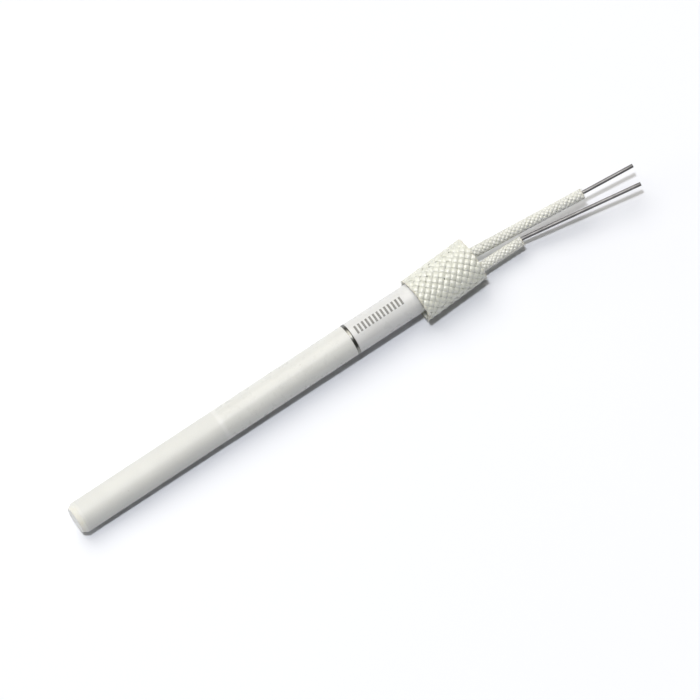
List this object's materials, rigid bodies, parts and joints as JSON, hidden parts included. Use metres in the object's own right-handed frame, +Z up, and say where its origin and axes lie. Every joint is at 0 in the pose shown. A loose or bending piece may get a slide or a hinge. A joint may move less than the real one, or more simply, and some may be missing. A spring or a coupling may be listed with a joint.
{
  "type": "ceramic rod heating element",
  "caption": "Slim white ceramic heating rod with a tapered nose, a woven glass sleeve over its rear end, and stiff bare wire leads in small woven sleeves.",
  "frame": {"origin": "centre of the flat face at the rod's tip, on the rod's axis", "axes": "+X along the rod's axis from the tip toward the leads, +Z up as the part lies with both leads roughly level and the terminals underneath"},
  "size_m": [0.0987, 0.0084, 0.007],
  "materials": {
    "alumina": "satin",
    "nose_cement": "matte",
    "tungsten_print": "matte",
    "nickel": "satin",
    "braze": "satin",
    "glass_braid": "woven",
    "mark_metal": "glossy",
    "mark_print": "matte"
  },
  "bodies": {
    "heater": {"ceramic_core": "alumina", "ceramic_sheet": "alumina", "nose_seal_ring": "nose_cement", "heater_track": "tungsten_print", "supply_track_a": "tungsten_print", "supply_track_b": "tungsten_print", "vias_a": "tungsten_print", "vias_b": "tungsten_print", "terminal_pad_a": "nickel", "terminal_pad_b": "nickel", "braze_joint_a": "braze", "braze_joint_b": "braze", "lead_wire_a": "nickel", "lead_wire_b": "nickel", "mark_ring": "mark_metal", "printed_mark": "mark_print"},
    "outer_sleeve": {"outer_sleeve": "glass_braid"},
    "long_lead_sleeve": {"lead_sleeve_long": "glass_braid"},
    "short_lead_sleeve": {"lead_sleeve_short": "glass_braid"}
  },
  "joints": [
    {"name": "outer_sleeve_slide", "type": "slide", "parent": "heater", "child": "outer_sleeve", "axis": [-1, 0, 0], "range_m": [-0.004, 0.0715]},
    {"name": "long_lead_sleeve_slide", "type": "slide", "parent": "heater", "child": "long_lead_sleeve", "axis": [0.993, -0.1011, 0.061], "range_m": [0, 0.03]},
    {"name": "short_lead_sleeve_slide", "type": "slide", "parent": "heater", "child": "short_lead_sleeve", "axis": [1, 0, 0], "range_m": [0, 0.0015]}
  ]
}
